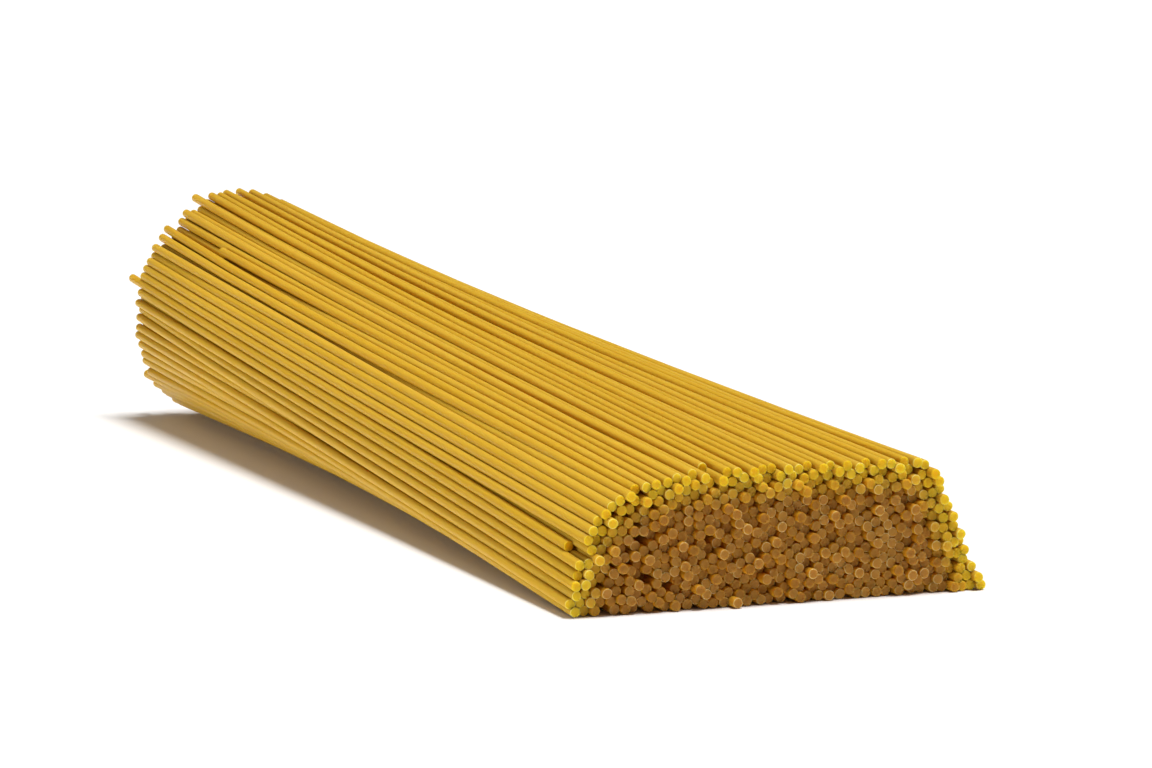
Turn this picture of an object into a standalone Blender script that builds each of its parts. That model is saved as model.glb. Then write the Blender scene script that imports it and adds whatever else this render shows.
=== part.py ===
"""Bundle of dry spaghetti lying on its side, modelled in metres with +Z up.

The strands run along Y. The near end, at -Y, has slumped into a wide flat-bottomed mound, and the far
end, at +Y, is still the tall round bunch that a hand or a packet gave it. The strands are the same ones
at both ends, so they fan out sideways and come down as they run towards -Y.

The strands are first laid out together, as discs in a row of cross sections that push each other apart
inside the bundle's outline. The solid is then a core with the strands of the outer layer fused along it,
and the ends of the inner ones standing out of its two end faces.
"""

import bmesh
import bpy
import numpy as np
from mathutils import Matrix

STRAND_DIAMETER = 0.00165
STRAND_RADIUS = STRAND_DIAMETER / 2
STRAND_LENGTH = 0.255
STRAND_COUNT = 555

# The near end: a mound with a flat base, a round left shoulder and a sharper right one.
NEAR_HEIGHT = 0.0218
LEFT_WIDTH, LEFT_TAPER, LEFT_SHOULDER = 0.0356, 0.005, 4
RIGHT_WIDTH, RIGHT_TAPER, RIGHT_SHOULDER = 0.0368, 0.0095, 16

# The far end: a bunch between a circle and a rounded square, whose top left has fallen away.
FAR_HALF_WIDTH = 0.0195
FAR_HEIGHT = 0.0450
FAR_SQUARENESS, FAR_TOP_LEFT_SQUARENESS = 2.5, 1.65
PROFILE_POINTS = 721

# How much narrower and lower the bundle is halfway than straight lines between its ends would make it.
WAIST = 0.04

# The part of each column's height that the strands' centre lines are first spread over, and how close two
# of them may pass while they cross before they trade far ends.
LOWEST, HIGHEST = 0.0, 0.99
CROSSING_GAP = 0.7 * STRAND_DIAMETER

# How unevenly the strands lie: astray of their course at the far end, slid along their length, and cut.
STRAY = 0.1 * STRAND_DIAMETER
SLIDE = 0.0006
CUT_ERROR = 0.0006
SEED = 11

# Strands that have slipped further, by where that end of theirs lies (X, Z), and how far towards +Y.
SLIPPED_BY_NEAR_END = (
    (-0.0214, 0.0113, 0.0050),
    (-0.0114, 0.0105, 0.0050),
    (-0.0214, 0.0047, 0.0040),
    (-0.0175, 0.0031, 0.0035),
    (-0.0290, 0.0009, -0.0018),
    (-0.0076, 0.0009, -0.0018),
)
SLIPPED_BY_FAR_END = (
    (-0.0203, 0.0276, 0.0070),
    (-0.0160, 0.0073, 0.0055),
    (-0.0060, 0.0440, 0.0045),
)

# A strand that has lost a piece off its far end (X, Z), and how long the piece was.
BROKEN_FAR_END = (-0.0120, 0.0396)
BROKEN_OFF = 0.030

# The settling of the strands against each other.
STATIONS = 9
SETTLING_STEPS = 320
NEIGHBOUR_REACH = 1.5 * STRAND_DIAMETER
HOLD = 0.02
STRAIGHTEN = 0.25
WALL_POINTS = 120

# The core, and the few sides that each strand has.
OUTLINE_POINTS = 400
CORE_SIDES = 36
CORE_RINGS = 3
CORE_DEPTH = 0.64 * STRAND_DIAMETER
SKIN_DEPTH = STRAND_DIAMETER
STRAND_SIDES = 6
STRAND_RINGS = 3
TWIST_SEED = 14
STUB_ROOT = 0.0012
LEAST_STUB = 0.0006

PASTA_COLOUR = (0.72, 0.47, 0.12, 1.0)
PASTA_ROUGHNESS = 0.5


def near_profile():
    """The near end's columns: their places across X, and the heights of their feet and heads."""
    rise = np.linspace(0, 1, PROFILE_POINTS)
    left = -(LEFT_WIDTH - LEFT_TAPER * rise) * (1 - rise**LEFT_SHOULDER) ** (1 / LEFT_SHOULDER)
    right = (RIGHT_WIDTH - RIGHT_TAPER * rise) * (1 - rise**RIGHT_SHOULDER) ** (1 / RIGHT_SHOULDER)
    across = np.linspace(-LEFT_WIDTH, RIGHT_WIDTH, PROFILE_POINTS)
    head = np.where(
        across < 0,
        np.interp(across, left, rise * NEAR_HEIGHT),
        np.interp(-across, -right, rise * NEAR_HEIGHT),
    )
    return across, np.zeros(PROFILE_POINTS), head


def far_profile():
    """The far end's columns, as near_profile gives the near end's."""
    out = np.linspace(-1, 1, PROFILE_POINTS)
    top = np.where(out < 0, FAR_TOP_LEFT_SQUARENESS, FAR_SQUARENESS)
    foot, head = (
        FAR_HEIGHT / 2 * (1 + way * (1 - np.abs(out) ** power) ** (1 / power))
        for way, power in ((-1, FAR_SQUARENESS), (1, top))
    )
    return FAR_HALF_WIDTH * out, foot, head


def place(share, rise, profile):
    """The points of a section with that share of its area on their left and that part of its height below."""
    across, foot, head = profile
    column = head - foot
    area = np.concatenate([[0], np.cumsum((column[1:] + column[:-1]) / 2 * np.diff(across))])
    x = np.interp(share, area / area[-1], across)
    low, high = np.interp(x, across, foot), np.interp(x, across, head)
    return np.stack([x, low + rise * (high - low)], axis=-1)


def between(along, near, far):
    """The points at a share of the length on the way from the near end's to the far end's."""
    return ((1 - along) * near + along * far) * (1 - WAIST * np.sin(np.pi * along))


def uncrossed(near, far):
    """The far ends, traded between the strands that would otherwise run through each other."""
    far = far.copy()
    while True:
        start, end = near[:, None] - near, far[:, None] - far
        turn = start - end
        along = (start * turn).sum(axis=2) / ((turn**2).sum(axis=2) + 1e-12)
        gap = np.linalg.norm(start - along[:, :, None] * turn, axis=2)
        through = ((start * end).sum(axis=2) < 0) & (gap < CROSSING_GAP)
        if not through.any():
            return far
        one, other = np.argwhere(through)[0]
        far[[one, other]] = far[[other, one]]


def free_courses(draw):
    """Where each strand would lie at each station if it took no room from the others."""
    golden_ratio = (1 + 5**0.5) / 2
    order = np.arange(STRAND_COUNT)
    share = (order + 0.5) / STRAND_COUNT
    rise = LOWEST + (HIGHEST - LOWEST) * ((0.5 + order / golden_ratio) % 1)
    near = place(share, rise, near_profile())
    far = place(share, rise, far_profile())
    far = uncrossed(near, far + draw.normal(0, STRAY, far.shape))
    return between(np.linspace(0, 1, STATIONS)[:, None, None], near, far)


def outline(along, points, depth):
    """An even outline of the section at a share of the length, anticlockwise, that deep under its edge."""
    share = (1 - np.cos(np.linspace(0, np.pi, PROFILE_POINTS))) / 2
    ring = []
    for rise, shares in ((0, share), (1, share[::-1])):
        near = place(shares, rise, near_profile())
        far = place(shares, rise, far_profile())
        side = between(along, near, far)
        run = np.concatenate([[0], np.cumsum(np.linalg.norm(np.diff(side, axis=0), axis=1))])
        even = np.linspace(0, run[-1], points // 2, endpoint=False)
        ring.append(np.stack([np.interp(even, run, side[:, axis]) for axis in (0, 1)], axis=-1))
    ring = np.concatenate(ring)
    tangent = np.roll(ring, -1, axis=0) - np.roll(ring, 1, axis=0)
    inward = np.stack([-tangent[:, 1], tangent[:, 0]], axis=-1)
    return ring + depth * inward / np.linalg.norm(inward, axis=1)[:, None]


def walls():
    """Round each station's section, points on its outline and the way inward from each."""
    shapes = []
    for along in np.linspace(0, 1, STATIONS):
        ring = outline(along, WALL_POINTS, 0)
        shapes.append((ring, outline(along, WALL_POINTS, 1) - ring))
    return shapes


def keep_inside(places, shapes):
    """Moves the strands that stick out of the bundle's outline back under it."""
    for section, (ring, inward) in zip(places, shapes):
        depth = section @ inward.T - (ring * inward).sum(axis=1)
        missing = np.maximum(STRAND_RADIUS - depth.min(axis=1), 0)
        section += missing[:, None] * inward[depth.argmin(axis=1)]


def settled(courses):
    """Moves the strands apart inside the outline, while each stays smooth and close to its course."""
    places = courses.copy()
    shapes = walls()
    for step in range(SETTLING_STEPS):
        if step % 10 == 0:
            apart = places[:, :, None, :] - places[:, None, :, :]
            station, one, other = np.nonzero((apart**2).sum(axis=3) < NEIGHBOUR_REACH**2)
            station, one, other = (index[one < other] for index in (station, one, other))
        apart = places[station, one] - places[station, other]
        distance = np.linalg.norm(apart, axis=1) + 1e-12
        overlap = np.maximum(STRAND_DIAMETER - distance, 0)
        push = apart * (0.45 * overlap / distance)[:, None]
        moved = np.zeros_like(places)
        touching = np.ones(places.shape[:2])
        for strand, sign in ((one, 1), (other, -1)):
            np.add.at(moved, (station, strand), sign * push)
            np.add.at(touching, (station, strand), overlap > 0)
        places += moved / np.sqrt(touching)[:, :, None]
        bend = (places[:-2] + places[2:]) / 2 - places[1:-1]
        places[1:-1] += STRAIGHTEN * bend
        places[:-2] -= STRAIGHTEN / 2 * bend
        places[2:] -= STRAIGHTEN / 2 * bend
        places += HOLD * (courses - places)
        keep_inside(places, shapes)
    return places


def nearest(ends, x, z):
    """Which strand's end lies closest to a point of the section."""
    return np.linalg.norm(ends - (x, z), axis=1).argmin()


def lay_out():
    """Each strand's course as a cubic in the share of the length, and the Y of its two cut ends."""
    draw = np.random.default_rng(SEED)
    places = settled(free_courses(draw))
    along = np.linspace(0, 1, STATIONS)
    cubics = np.polyfit(along, places.reshape(STATIONS, -1), 3).reshape(4, STRAND_COUNT, 2)

    slide = np.clip(draw.normal(0, SLIDE, STRAND_COUNT), -2 * SLIDE, 2 * SLIDE)
    for ends, slips in ((places[0], SLIPPED_BY_NEAR_END), (places[-1], SLIPPED_BY_FAR_END)):
        for x, z, slip in slips:
            slide[nearest(ends, x, z)] = slip
    near_cut = slide - STRAND_LENGTH / 2
    far_cut = slide + STRAND_LENGTH / 2 + draw.normal(0, CUT_ERROR, STRAND_COUNT)
    far_cut[nearest(places[-1], *BROKEN_FAR_END)] -= BROKEN_OFF
    return cubics.transpose(1, 2, 0), near_cut, far_cut


def centre_line(cubics, y):
    """Where one strand passes each of several Y, or where each of several strands passes one Y."""
    along = np.asarray(y) / STRAND_LENGTH + 0.5
    x, z = np.moveaxis(cubics, -2, 0) @ np.stack([along**3, along**2, along, along**0])
    return np.stack([x, np.broadcast_to(y, x.shape), z], axis=-1)


def skin_strands(cubics):
    """The strands that lie against the bundle's outline, or show between those that do, anywhere."""
    least_depth = np.full(STRAND_COUNT, np.inf)
    for share in np.linspace(0, 1, STATIONS):
        section = centre_line(cubics, (share - 0.5) * STRAND_LENGTH)[:, ::2]
        gaps = np.linalg.norm(section[:, None] - outline(share, OUTLINE_POINTS, 0)[None], axis=2)
        least_depth = np.minimum(least_depth, gaps.min(axis=1))
    return np.nonzero(least_depth < SKIN_DEPTH)[0]


def loft(name, rings, flat_sides):
    """A closed solid through rings of points, near ring first, each anticlockwise from the near end.

    Where a side isn't flat from one ring to the next, it is folded along a diagonal.
    """
    rings = np.asarray(rings)
    count = rings.shape[1]
    last = (len(rings) - 1) * count
    faces = [tuple(range(count)), tuple(range(last + count - 1, last - 1, -1))]
    for low in range(0, last, count):
        for side in range(count):
            after = (side + 1) % count
            corners = (low + side, low + count + side, low + count + after, low + after)
            faces += [corners] if flat_sides else [corners[:3], corners[2:] + corners[:1]]
    mesh = bpy.data.meshes.new(name)
    mesh.from_pydata(rings.reshape(-1, 3).tolist(), [], faces)
    return bpy.data.objects.new(name, mesh)


def length_of_strand(name, cubic, y_from, y_to, rings, twist):
    """A strand with few sides, cut square to Y, along its own centre line."""
    turn = twist + 2 * np.pi * np.arange(STRAND_SIDES) / STRAND_SIDES
    circle = STRAND_RADIUS * np.stack([np.cos(turn), np.zeros(STRAND_SIDES), np.sin(turn)], axis=1)
    line = centre_line(cubic, np.linspace(y_from, y_to, rings))
    return loft(name, line[:, None, :] + circle, flat_sides=True)


def core_between(near_face, far_face):
    """The solid core, just under the strands of the outer layer."""
    rings = []
    for y in np.linspace(near_face, far_face, CORE_RINGS):
        ring = outline(y / STRAND_LENGTH + 0.5, CORE_SIDES, CORE_DEPTH)
        rings.append(np.insert(ring, 1, y, axis=1))
    return loft("spaghetti_bundle", rings, flat_sides=False)


def fused_pieces(cubics, near_cut, far_cut, near_face, far_face):
    """The strands along the core's skin, then the ends that stand out of its two faces."""
    draw = np.random.default_rng(TWIST_SEED)
    twists = draw.uniform(0, 2 * np.pi / STRAND_SIDES, STRAND_COUNT)
    skin = skin_strands(cubics)
    pieces = [
        length_of_strand(f"skin_{i}", cubics[i], near_cut[i], far_cut[i], STRAND_RINGS, twists[i])
        for i in skin
    ]
    for i in np.setdiff1d(np.arange(STRAND_COUNT), skin):
        if near_cut[i] < near_face - LEAST_STUB:
            root = near_face + STUB_ROOT
            pieces.append(length_of_strand(f"near_{i}", cubics[i], near_cut[i], root, 2, twists[i]))
        if far_cut[i] > far_face + LEAST_STUB:
            root = far_face - STUB_ROOT
            pieces.append(length_of_strand(f"far_{i}", cubics[i], root, far_cut[i], 2, twists[i]))
    return pieces


def keep_largest_shell(mesh):
    """Drops loose scraps and the walls of sealed hollows, which are shells apart from the main one."""
    shape = bmesh.new()
    shape.from_mesh(mesh)
    bmesh.ops.triangulate(shape, faces=shape.faces)
    unseen = set(shape.faces)
    shells = []
    while unseen:
        shell, ahead = [], [unseen.pop()]
        while ahead:
            face = ahead.pop()
            shell.append(face)
            beside = {other for edge in face.edges for other in edge.link_faces} & unseen
            unseen -= beside
            ahead.extend(beside)
        shells.append(shell)
    shells.sort(key=len)
    scraps = [face for shell in shells[:-1] for face in shell]
    bmesh.ops.delete(shape, geom=scraps, context="FACES")
    shape.to_mesh(mesh)
    shape.free()


def fuse(core, pieces):
    """Joins the pieces to the core, and removes them."""
    scene = bpy.context.scene
    strands = bpy.data.collections.new("strands")
    scene.collection.children.link(strands)
    for piece in pieces:
        strands.objects.link(piece)
    scene.collection.objects.link(core)
    union = core.modifiers.new("fuse", "BOOLEAN")
    union.operation = "UNION"
    union.operand_type = "COLLECTION"
    union.collection = strands
    union.solver = "MANIFOLD"
    fused = bpy.data.meshes.new_from_object(core.evaluated_get(bpy.context.evaluated_depsgraph_get()))
    core.modifiers.clear()
    core.data = fused
    for piece in pieces:
        bpy.data.objects.remove(piece)
    bpy.data.collections.remove(strands)
    keep_largest_shell(core.data)


def stand_on_origin(mesh):
    """Moves the mesh until the middle of its box's underside is at the origin."""
    corners = np.array([corner.co for corner in mesh.vertices])
    low, high = corners.min(axis=0), corners.max(axis=0)
    across, along = (low[:2] + high[:2]) / 2
    mesh.transform(Matrix.Translation((-across, -along, -low[2])))


def pasta():
    """Dry durum wheat pasta: a deep yellow, faintly floury and not shiny."""
    material = bpy.data.materials.new("dry_pasta")
    material.use_nodes = True
    surface = material.node_tree.nodes["Principled BSDF"]
    surface.inputs["Base Color"].default_value = PASTA_COLOUR
    surface.inputs["Roughness"].default_value = PASTA_ROUGHNESS
    surface.inputs["Metallic"].default_value = 0.0
    return material


def main():
    for old in list(bpy.data.objects):
        bpy.data.objects.remove(old)
    cubics, near_cut, far_cut = lay_out()
    near_face, far_face = np.median(near_cut), np.median(far_cut)
    pieces = fused_pieces(cubics, near_cut, far_cut, near_face, far_face)
    bundle = core_between(near_face, far_face)
    fuse(bundle, pieces)
    stand_on_origin(bundle.data)
    bundle.data.materials.append(pasta())


main()
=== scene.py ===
import bpy
import numpy as np
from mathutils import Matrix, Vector


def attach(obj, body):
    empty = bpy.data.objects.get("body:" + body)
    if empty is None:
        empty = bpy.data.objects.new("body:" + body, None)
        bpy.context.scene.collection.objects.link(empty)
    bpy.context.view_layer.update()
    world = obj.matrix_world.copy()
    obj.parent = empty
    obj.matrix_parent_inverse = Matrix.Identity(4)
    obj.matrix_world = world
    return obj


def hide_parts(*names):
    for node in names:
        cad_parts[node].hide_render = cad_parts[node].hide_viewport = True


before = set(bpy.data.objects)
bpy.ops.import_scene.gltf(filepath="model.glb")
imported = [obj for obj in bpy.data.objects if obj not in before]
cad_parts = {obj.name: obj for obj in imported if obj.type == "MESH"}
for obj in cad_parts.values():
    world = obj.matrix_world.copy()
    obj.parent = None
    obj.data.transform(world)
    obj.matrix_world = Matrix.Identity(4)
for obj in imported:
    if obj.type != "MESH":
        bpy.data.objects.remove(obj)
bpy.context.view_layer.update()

# How the strands lie
# The bundle is 555 straight strands of dry durum wheat pasta, 1.65 mm thick, with nothing tied round them.
# At the far end they are still a tall round bunch; at the near end they have slumped into a wide mound on
# the floor, so they fan out sideways and come down as they run to the front.
STRANDS = 555
STRAND_DIAMETER = 0.00165
STRAND_LENGTH = 0.255

# For each side of the mound: how far it reaches on the floor, how much it comes in on the way up, and how
# square its shoulder is.
LEFT_REACH, LEFT_TAPER, LEFT_SHOULDER = 0.0356, 0.005, 4
RIGHT_REACH, RIGHT_TAPER, RIGHT_SHOULDER = 0.0368, 0.0095, 16
MOUND_HEIGHT = 0.0218

# The bunch is between a circle and a rounded square, but its top left has fallen away.
BUNCH_HALF_WIDTH, BUNCH_HEIGHT = 0.0195, 0.0450
BUNCH_SQUARENESS, TOP_LEFT_SQUARENESS = 2.5, 1.65

# Halfway along, the bundle is this much slimmer than straight lines between its ends would make it.
WAIST = 0.04

# Each section is worked out in this many columns.
COLUMNS = 721


def rounding(share, squareness):
    """How much of a rounded shape's reach is left at a share of its way out; squareness 2 is a circle."""
    return (1 - share**squareness) ** (1 / squareness)


rise = np.linspace(0, 1, COLUMNS)
left_edge = -(LEFT_REACH - LEFT_TAPER * rise) * rounding(rise, LEFT_SHOULDER)
right_edge = (RIGHT_REACH - RIGHT_TAPER * rise) * rounding(rise, RIGHT_SHOULDER)
mound_x = np.linspace(-LEFT_REACH, RIGHT_REACH, COLUMNS)
mound_foot = np.zeros(COLUMNS)
mound_head = np.where(
    mound_x < 0,
    np.interp(mound_x, left_edge, rise * MOUND_HEIGHT),
    np.interp(-mound_x, -right_edge, rise * MOUND_HEIGHT),
)
out = np.linspace(-1, 1, COLUMNS)
bunch_x = BUNCH_HALF_WIDTH * out
top_squareness = np.where(out < 0, TOP_LEFT_SQUARENESS, BUNCH_SQUARENESS)
bunch_foot = BUNCH_HEIGHT / 2 * (1 - rounding(np.abs(out), BUNCH_SQUARENESS))
bunch_head = BUNCH_HEIGHT / 2 * (1 + rounding(np.abs(out), top_squareness))


def shared_out(x, foot, head, share, height):
    """Spots in a section with that share of its area on their left and that part of its height below."""
    column = head - foot
    area = np.concatenate([[0], np.cumsum((column[1:] + column[:-1]) / 2 * np.diff(x))])
    spot = np.interp(share, area / area[-1], x)
    low, high = np.interp(spot, x, foot), np.interp(spot, x, head)
    return np.stack([spot, low + height * (high - low)], axis=-1)


def on_the_way(along, in_mound, in_bunch):
    """Where strands from those spots in the mound to those in the bunch pass a share of their length."""
    return ((1 - along) * in_mound + along * in_bunch) * (1 - WAIST * np.sin(np.pi * along))


def outline(along, points):
    """Even points round the bundle's section at a share of its length, and the way inward from each."""
    spread = (1 - np.cos(np.linspace(0, np.pi, COLUMNS))) / 2
    ring = []
    for height, share in ((0, spread), (1, spread[::-1])):
        in_mound = shared_out(mound_x, mound_foot, mound_head, share, height)
        in_bunch = shared_out(bunch_x, bunch_foot, bunch_head, share, height)
        edge = on_the_way(along, in_mound, in_bunch)
        run = np.concatenate([[0], np.cumsum(np.linalg.norm(np.diff(edge, axis=0), axis=1))])
        even = np.linspace(0, run[-1], points // 2, endpoint=False)
        ring.append(np.stack([np.interp(even, run, edge[:, axis]) for axis in (0, 1)], axis=-1))
    ring = np.concatenate(ring)
    onward = np.roll(ring, -1, axis=0) - np.roll(ring, 1, axis=0)
    inward = np.stack([-onward[:, 1], onward[:, 0]], axis=-1)
    return ring, inward / np.linalg.norm(inward, axis=1)[:, None]


# From left to right every strand has an equal share of the area of both ends. Up and down they follow the
# golden ratio, which keeps neighbours apart, up to nearly the top, and in the bunch they stray a little.
GOLDEN_RATIO = (1 + 5**0.5) / 2
HIGHEST = 0.99
STRAY = 0.1 * STRAND_DIAMETER
SEED = 11
order = np.arange(STRANDS)
share = (order + 0.5) / STRANDS
height = HIGHEST * ((0.5 + order / GOLDEN_RATIO) % 1)
chance = np.random.default_rng(SEED)
in_mound = shared_out(mound_x, mound_foot, mound_head, share, height)
in_bunch = shared_out(bunch_x, bunch_foot, bunch_head, share, height)
in_bunch = in_bunch + chance.normal(0, STRAY, in_bunch.shape)

# Where two would run right through each other on the way, they trade places in the bunch.
CROSSING_GAP = 0.7 * STRAND_DIAMETER
NEXT_TO_NOTHING = 1e-12
while True:
    start, end = in_mound[:, None] - in_mound, in_bunch[:, None] - in_bunch
    swing = start - end
    closest = (start * swing).sum(axis=2) / ((swing**2).sum(axis=2) + NEXT_TO_NOTHING)
    gap = np.linalg.norm(start - closest[:, :, None] * swing, axis=2)
    through = np.argwhere(((start * end).sum(axis=2) < 0) & (gap < CROSSING_GAP))
    if len(through) == 0:
        break
    in_bunch[through[0]] = in_bunch[through[0][::-1]]

# They settle, which is worked out in sections from end to end: touching strands push each other apart, the
# outer ones stay inside the bundle's outline, and their stiffness keeps each one almost straight.
STATIONS = 9
SETTLING_STEPS = 320
STEPS_TO_A_SEARCH = 10
NEIGHBOUR_REACH = 1.5 * STRAND_DIAMETER
PUSH_APART = 0.45
STRAIGHTEN = 0.25
HOLD = 0.02
WALL_POINTS = 120
stations = np.linspace(0, 1, STATIONS)
free = on_the_way(stations[:, None, None], in_mound, in_bunch)
lie = free.copy()
walls = [outline(along, WALL_POINTS) for along in stations]
for step in range(SETTLING_STEPS):
    if step % STEPS_TO_A_SEARCH == 0:
        apart = lie[:, :, None, :] - lie[:, None, :, :]
        station, one, other = np.nonzero((apart**2).sum(axis=3) < NEIGHBOUR_REACH**2)
        station, one, other = (index[one < other] for index in (station, one, other))
    apart = lie[station, one] - lie[station, other]
    distance = np.linalg.norm(apart, axis=1) + NEXT_TO_NOTHING
    overlap = np.maximum(STRAND_DIAMETER - distance, 0)
    push = apart * (PUSH_APART * overlap / distance)[:, None]
    moved = np.zeros_like(lie)
    touching = np.ones(lie.shape[:2])
    for strand, sign in ((one, 1), (other, -1)):
        np.add.at(moved, (station, strand), sign * push)
        np.add.at(touching, (station, strand), overlap > 0)
    lie += moved / np.sqrt(touching)[:, :, None]
    bend = (lie[:-2] + lie[2:]) / 2 - lie[1:-1]
    lie[1:-1] += STRAIGHTEN * bend
    lie[:-2] -= STRAIGHTEN / 2 * bend
    lie[2:] -= STRAIGHTEN / 2 * bend
    lie += HOLD * (free - lie)
    for section, (ring, inward) in zip(lie, walls):
        depth = section @ inward.T - (ring * inward).sum(axis=1)
        missing = np.maximum(STRAND_DIAMETER / 2 - depth.min(axis=1), 0)
        section += missing[:, None] * inward[depth.argmin(axis=1)]
near_ends, far_ends = lie[0], lie[-1]

# Each strand's course is one cubic curve through its places in the sections.
CUBIC = 3
course = np.polyfit(stations, lie.reshape(STATIONS, -1), CUBIC).reshape(CUBIC + 1, STRANDS, 2)

# Their ends are uneven: all have slid a little, a few further, and one has lost a piece off its far end.
SLIDE = 0.0006
CUT_ERROR = 0.0006
BROKEN_OFF = 0.030


def nearest(ends, x, z):
    """The strand whose end lies nearest to that spot of the near or far face."""
    return np.linalg.norm(ends - (x, z), axis=1).argmin()


slide = np.clip(chance.normal(0, SLIDE, STRANDS), -2 * SLIDE, 2 * SLIDE)
# A strand that has slid back leaves a hole in the near face and stands out of the far one.
for ends, x, z, slid_back in (
    (near_ends, -0.0214, 0.0113, 0.0050),
    (near_ends, -0.0114, 0.0105, 0.0050),
    (near_ends, -0.0214, 0.0047, 0.0040),
    (near_ends, -0.0175, 0.0031, 0.0035),
    (near_ends, -0.0290, 0.0009, -0.0018),
    (near_ends, -0.0076, 0.0009, -0.0018),
    (far_ends, -0.0203, 0.0276, 0.0070),
    (far_ends, -0.0160, 0.0073, 0.0055),
    (far_ends, -0.0060, 0.0440, 0.0045),
):
    slide[nearest(ends, x, z)] = slid_back
near_cut = slide - STRAND_LENGTH / 2
far_cut = slide + STRAND_LENGTH / 2 + chance.normal(0, CUT_ERROR, STRANDS)
far_cut[nearest(far_ends, -0.0120, 0.0396)] -= BROKEN_OFF

# The strands
# Each strand is extruded dough, dried hard: a smooth rod that is never quite round or quite the same
# thickness, and cut off at both ends, which leaves a rough face with a chipped edge. They lie loose.
ROUND = 16
LENGTHS = 6

# As parts of the diameter: a usual strand, how much they differ and the most oval one. ASKEW is how steeply
# a cut slopes.
USUAL_THICKNESS, UNEVENNESS, MOST_OVAL = 0.985, 0.012, 0.03
ASKEW = 0.06

# Each cut face is sunk in the middle, chipped round its rim, and then worn down to the strand's side.
MIDDLE_WIDTH, MIDDLE_SUNK = 0.45, 0.00003
RIM_WIDTH, CHIPS = 0.9, 0.00005
WORN_EDGE = 0.00012
face_rings = ((MIDDLE_SUNK, MIDDLE_WIDTH), (0.0, RIM_WIDTH), (WORN_EDGE, 1.0))

# The ends of the outer strands have a painted glow, brighter colour standing in for the light that comes in
# through their sides, but none comes up out of the floor, which the mound lies flat on. Deeper in they have
# painted shade, a darker colour.
PAINTED_GLOW_AT_EDGE = 1.25
PAINTED_GLOW_DEPTH = 2.5 * STRAND_DIAMETER
FACING_UP = 0.9
OUTLINE_POINTS = 400
painted_glow = []
for ends, along, flat_on_floor in ((near_ends, 0, True), (far_ends, 1, False)):
    ring, inward = outline(along, OUTLINE_POINTS)
    open_air = ring[inward[:, 1] < FACING_UP] if flat_on_floor else ring
    depth = np.linalg.norm(ends[:, None] - open_air[None], axis=2).min(axis=1)
    painted_glow.append(np.clip(PAINTED_GLOW_AT_EDGE - (depth - STRAND_DIAMETER / 2) / PAINTED_GLOW_DEPTH, 0, 1))

NEAR, BETWEEN, FAR = 0, 1, 2
turn = 2 * np.pi * np.arange(ROUND) / ROUND
points = []
painted_glow_share = []
tones = []
for strand in range(STRANDS):
    thickness = STRAND_DIAMETER * chance.normal(USUAL_THICKNESS, UNEVENNESS)
    oval, lean = chance.uniform(0, MOST_OVAL), chance.uniform(0, np.pi)
    radius = thickness / 2 * (1 + oval * np.cos(2 * (turn - lean)))
    y_near, y_far = near_cut[strand], far_cut[strand]
    rings = [(y_near + inset, width, NEAR) for inset, width in face_rings]
    rings += [(y, 1.0, BETWEEN) for y in np.linspace(y_near, y_far, LENGTHS + 1)[1:-1]]
    rings += [(y_far - inset, width, FAR) for inset, width in face_rings[::-1]]
    tilts = {NEAR: chance.normal(0, ASKEW, 2), BETWEEN: (0, 0), FAR: chance.normal(0, ASKEW, 2)}
    painted_glow_mix = {NEAR: painted_glow[0][strand], BETWEEN: 1, FAR: painted_glow[1][strand]}
    for y, width, end in rings:
        t = y / STRAND_LENGTH + 0.5
        x, z = course[:, strand].T @ (t**3, t**2, t, 1)
        round_x, round_z = width * radius * np.cos(turn), width * radius * np.sin(turn)
        slant = tilts[end][0] * round_x + tilts[end][1] * round_z
        if width == RIM_WIDTH:
            slant += chance.normal(0, CHIPS, ROUND)
        points.append(np.stack([x + round_x, y + slant, z + round_z], axis=1))
        painted_glow_share.append(painted_glow_mix[end])
    tones.append(chance.random())
rings_each = len(rings)
points = np.concatenate(points)

side = np.arange(ROUND)
after = (side + 1) % ROUND
quads = []
for ring in range(rings_each - 1):
    low, high = ring * ROUND, (ring + 1) * ROUND
    quads.append(np.stack([low + side, high + side, high + after, low + after], axis=1))
quads = np.concatenate(quads)
last = (rings_each - 1) * ROUND
faces = []
for strand in range(STRANDS):
    base = strand * rings_each * ROUND
    faces += (quads + base).tolist()
    faces += [(base + side).tolist(), (base + last + side[::-1]).tolist()]

# Which material each of a strand's faces has: its bands from end to end, and then the two flat middles.
SKIN, CUT, RIM = 0, 1, 2
bands = [CUT, RIM, *[SKIN] * LENGTHS, RIM, CUT]
surface = np.array([*np.repeat(bands, ROUND), CUT, CUT])

# The bundle stands with the middle of its box over the origin and its lowest strand on the floor.
middle = (points.min(axis=0) + points.max(axis=0)) / 2
stand = np.array([middle[0], middle[1], points[:, 2].min()])
mesh = bpy.data.meshes.new("spaghetti_strands")
mesh.from_pydata((points - stand).tolist(), [], faces)
mesh.polygons.foreach_set("material_index", np.tile(surface, STRANDS))
mesh.polygons.foreach_set("use_smooth", np.tile(surface != CUT, STRANDS))
tone = mesh.attributes.new("tone", "FLOAT", "FACE")
tone.data.foreach_set("value", np.repeat(tones, len(surface)))
# How far each ring's colour goes from its painted shade to its painted glow.
painted_glow_attribute = mesh.attributes.new("painted_glow_share", "FLOAT", "POINT")
painted_glow_attribute.data.foreach_set("value", np.repeat(painted_glow_share, ROUND))
strands = bpy.data.objects.new("spaghetti_strands", mesh)
bpy.context.scene.collection.objects.link(strands)

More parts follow.
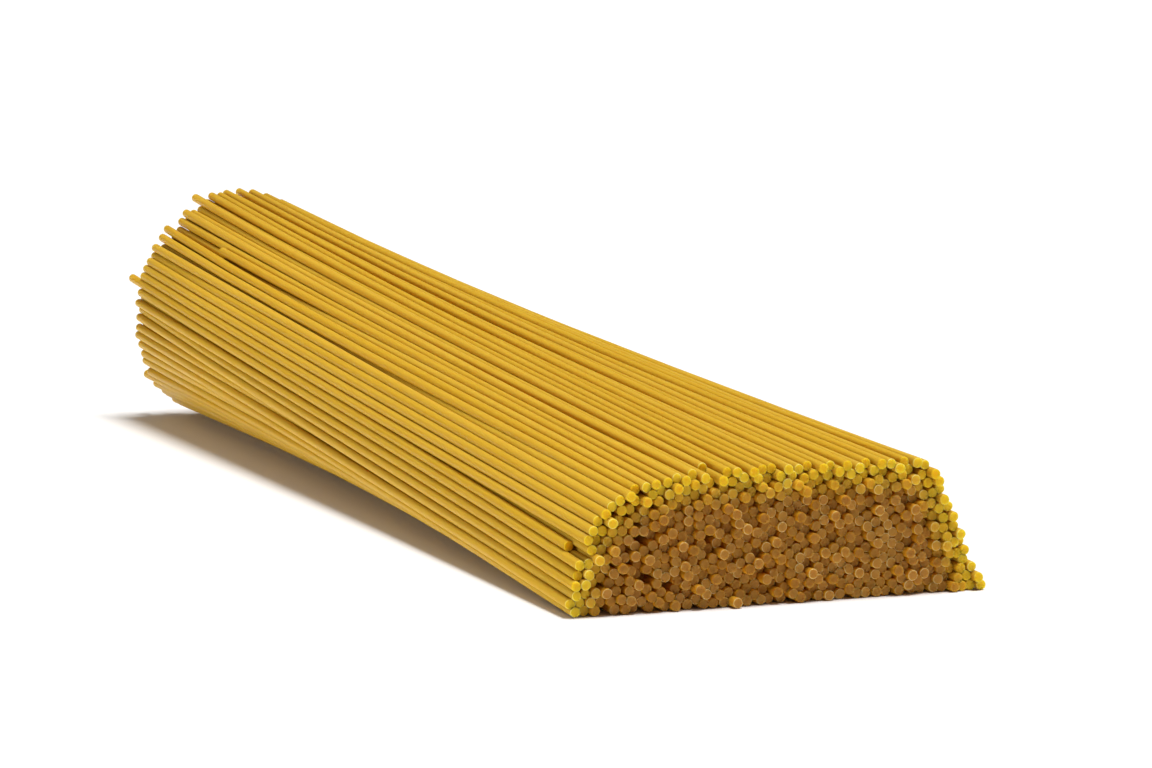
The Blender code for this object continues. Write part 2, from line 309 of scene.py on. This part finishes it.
# Streaks and specks of flour to each metre, how high the specks stand, and how much smoother or rougher
# than usual the streaks leave the skin.
STREAKS = (1500, 40, 1500)
FLOUR_SPECKS, SPECK_HEIGHT = 2500, 0.00005
SMOOTHER, ROUGHER = 0.08, 0.1

# Where a Mix node takes its two colours, and where it gives the mixed one.
FIRST_COLOUR, SECOND_COLOUR, MIXED_COLOUR = 6, 7, 2


def pasta(name, spread, painted_shade_colours, painted_glow_colours, roughness, bump):
    """Dry pasta: glassy yellow dough with fine streaks drawn along it and a little flour in its skin.

    It has a dark and a pale colour of painted shade, for strands deep in the bundle, and two of painted
    glow, for those near its outline, and goes from the dark to the pale one over that spread of streaks
    and tone.
    """
    material = bpy.data.materials.new(name)
    material.use_nodes = True
    nodes, links = material.node_tree.nodes, material.node_tree.links
    shader = nodes["Principled BSDF"]
    place = nodes.new("ShaderNodeTexCoord")
    drawn = nodes.new("ShaderNodeMapping")
    drawn.inputs["Scale"].default_value = STREAKS
    streaks = nodes.new("ShaderNodeTexNoise")
    streaks.inputs["Scale"].default_value = 1.0
    streaks.inputs["Detail"].default_value = 3.0
    links.new(place.outputs["Object"], drawn.inputs["Vector"])
    links.new(drawn.outputs["Vector"], streaks.inputs["Vector"])
    which = nodes.new("ShaderNodeAttribute")
    which.attribute_name = "tone"
    blend = nodes.new("ShaderNodeMath")
    blend.operation = "ADD"
    links.new(streaks.outputs["Fac"], blend.inputs[0])
    links.new(which.outputs["Fac"], blend.inputs[1])
    paleness = nodes.new("ShaderNodeMapRange")
    paleness.inputs["From Min"].default_value, paleness.inputs["From Max"].default_value = spread
    links.new(blend.outputs["Value"], paleness.inputs["Value"])
    # Painted glow: this mixes the painted shade colours into the painted glow ones by each ring's share.
    painted_glow_mix = nodes.new("ShaderNodeMix")
    painted_glow_mix.data_type = "RGBA"
    for socket, (dark, pale) in ((FIRST_COLOUR, painted_shade_colours), (SECOND_COLOUR, painted_glow_colours)):
        colour = nodes.new("ShaderNodeMix")
        colour.data_type = "RGBA"
        colour.inputs[FIRST_COLOUR].default_value = (*dark, 1)
        colour.inputs[SECOND_COLOUR].default_value = (*pale, 1)
        links.new(paleness.outputs["Result"], colour.inputs["Factor"])
        links.new(colour.outputs[MIXED_COLOUR], painted_glow_mix.inputs[socket])
    painted_glow_attribute = nodes.new("ShaderNodeAttribute")
    painted_glow_attribute.attribute_name = "painted_glow_share"
    links.new(painted_glow_attribute.outputs["Fac"], painted_glow_mix.inputs["Factor"])
    links.new(painted_glow_mix.outputs[MIXED_COLOUR], shader.inputs["Base Color"])
    matt = nodes.new("ShaderNodeMapRange")
    matt.inputs["To Min"].default_value = roughness - SMOOTHER
    matt.inputs["To Max"].default_value = roughness + ROUGHER
    links.new(streaks.outputs["Fac"], matt.inputs["Value"])
    links.new(matt.outputs["Result"], shader.inputs["Roughness"])
    grain = nodes.new("ShaderNodeTexNoise")
    grain.inputs["Scale"].default_value = FLOUR_SPECKS
    links.new(place.outputs["Object"], grain.inputs["Vector"])
    relief = nodes.new("ShaderNodeBump")
    relief.inputs["Strength"].default_value = bump
    relief.inputs["Distance"].default_value = SPECK_HEIGHT
    links.new(grain.outputs["Fac"], relief.inputs["Height"])
    links.new(relief.outputs["Normal"], shader.inputs["Normal"])
    shader.inputs["Subsurface Weight"].default_value = 0.9
    shader.inputs["Subsurface Scale"].default_value = 0.0018
    shader.inputs["Subsurface Radius"].default_value = (1.0, 0.9, 0.6)
    shader.inputs["IOR"].default_value = 1.45
    shader.inputs["Specular IOR Level"].default_value = 0.1
    return material


# They are added in the order of SKIN, CUT and RIM.
skin = pasta(
    "dry_pasta_skin",
    spread=(0.2, 1.6),
    painted_shade_colours=((0.58, 0.250, 0.010), (0.64, 0.290, 0.018)),
    painted_glow_colours=((0.56, 0.31, 0.014), (0.61, 0.355, 0.030)),
    roughness=0.42,
    bump=0.3,
)
cut = pasta(
    "dry_pasta_cut",
    spread=(0.2, 1.6),
    painted_shade_colours=((0.36, 0.160, 0.018), (0.50, 0.25, 0.050)),
    painted_glow_colours=((0.93, 0.49, 0.012), (0.96, 0.60, 0.035)),
    roughness=0.5,
    bump=0.8,
)
# The rim's pale colour is partly the paler chipped dough and partly painted highlight on cut edges.
rim_and_highlight = pasta(
    "dry_pasta_rim_and_highlight",
    spread=(0.9, 1.4),
    painted_shade_colours=((0.40, 0.18, 0.018), (0.68, 0.46, 0.18)),
    painted_glow_colours=((0.80, 0.44, 0.015), (0.88, 0.64, 0.14)),
    roughness=0.35,
    bump=0.8,
)
for material in (skin, cut, rim_and_highlight):
    mesh.materials.append(material)
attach(strands, "root")
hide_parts("spaghetti_bundle")

# The floor
# A plain white table top, far larger than the bundle, which lies on it loose. It is a hair below the lowest
# strands, so that the two never lie in one plane.
FLOOR_REACH = 4
FLOOR_DROP = 0.00002
corners = [(x * FLOOR_REACH, y * FLOOR_REACH, 0) for x, y in ((-1, -1), (1, -1), (1, 1), (-1, 1))]
floor_mesh = bpy.data.meshes.new("floor")
floor_mesh.from_pydata(corners, [], [(0, 1, 2, 3)])
floor = bpy.data.objects.new("floor", floor_mesh)
floor.location.z = -FLOOR_DROP
bpy.context.scene.collection.objects.link(floor)
white = bpy.data.materials.new("white_floor")
white.use_nodes = True
white_paint = white.node_tree.nodes["Principled BSDF"]
white_paint.inputs["Base Color"].default_value = (0.95, 0.95, 0.95, 1)
white_paint.inputs["Roughness"].default_value = 0.7
floor_mesh.materials.append(white)

# The light
# A studio tent, bright overhead and dimmer towards its foot, with a large soft lamp above, a little to the
# right, which lays a shadow along the left flank, and a weak one low on the left, which lights that flank.
TENT_FOOT, TENT_TOP = 0.02, 0.26
sky = bpy.data.worlds.new("studio_tent")
bpy.context.scene.world = sky
sky.use_nodes = True
nodes, links = sky.node_tree.nodes, sky.node_tree.links
direction = nodes.new("ShaderNodeTexCoord")
upward = nodes.new("ShaderNodeSeparateXYZ")
links.new(direction.outputs["Generated"], upward.inputs["Vector"])
brightness = nodes.new("ShaderNodeMapRange")
brightness.inputs["To Min"].default_value = TENT_FOOT
brightness.inputs["To Max"].default_value = TENT_TOP
links.new(upward.outputs["Z"], brightness.inputs["Value"])
links.new(brightness.outputs["Result"], nodes["Background"].inputs["Strength"])
nodes["Background"].inputs["Color"].default_value = (1, 1, 1, 1)
for name, towards, strength, softness in (
    ("high_right_lamp", (0.17, -0.06, 0.96), 3.3, 22),
    ("low_left_lamp", (-0.95, 0.12, 0.11), 1.15, 20),
):
    lamp = bpy.data.lights.new(name, "SUN")
    lamp.energy = strength
    lamp.angle = np.radians(softness)
    soft_lamp = bpy.data.objects.new(name, lamp)
    soft_lamp.location = towards
    soft_lamp.rotation_euler = Vector(towards).to_track_quat("Z", "Y").to_euler()
    bpy.context.scene.collection.objects.link(soft_lamp)
bpy.context.scene.view_settings.view_transform = "Standard"

# The camera
# A long lens from low on the left, looking along the strands from the near end to the far one. It stands
# 0.8 m back from the foot of the near face, above it and to its left.
DISTANCE, TO_THE_LEFT, ABOVE = 0.800, 0.0308, 0.0341
LOOK_DOWN, LOOK_RIGHT = np.radians(6.97), np.radians(23.15)
camera = bpy.data.cameras.new("camera")
camera.sensor_width = 36
camera.lens = 161.4
viewpoint = bpy.data.objects.new("camera", camera)
bpy.context.scene.collection.objects.link(viewpoint)
bpy.context.scene.camera = viewpoint
onward = Vector(
    (np.sin(LOOK_RIGHT) * np.cos(LOOK_DOWN), np.cos(LOOK_RIGHT) * np.cos(LOOK_DOWN), -np.sin(LOOK_DOWN))
)
to_right = Vector((np.cos(LOOK_RIGHT), -np.sin(LOOK_RIGHT), 0))
to_top = to_right.cross(onward)
near_foot = Vector((-stand[0], -STRAND_LENGTH / 2 - stand[1], 0))
viewpoint.location = near_foot - DISTANCE * onward - TO_THE_LEFT * to_right + ABOVE * to_top
viewpoint.rotation_mode = "QUATERNION"
viewpoint.rotation_quaternion = onward.to_track_quat("-Z", "Y")
camera.clip_start, camera.clip_end = 0.05, 20
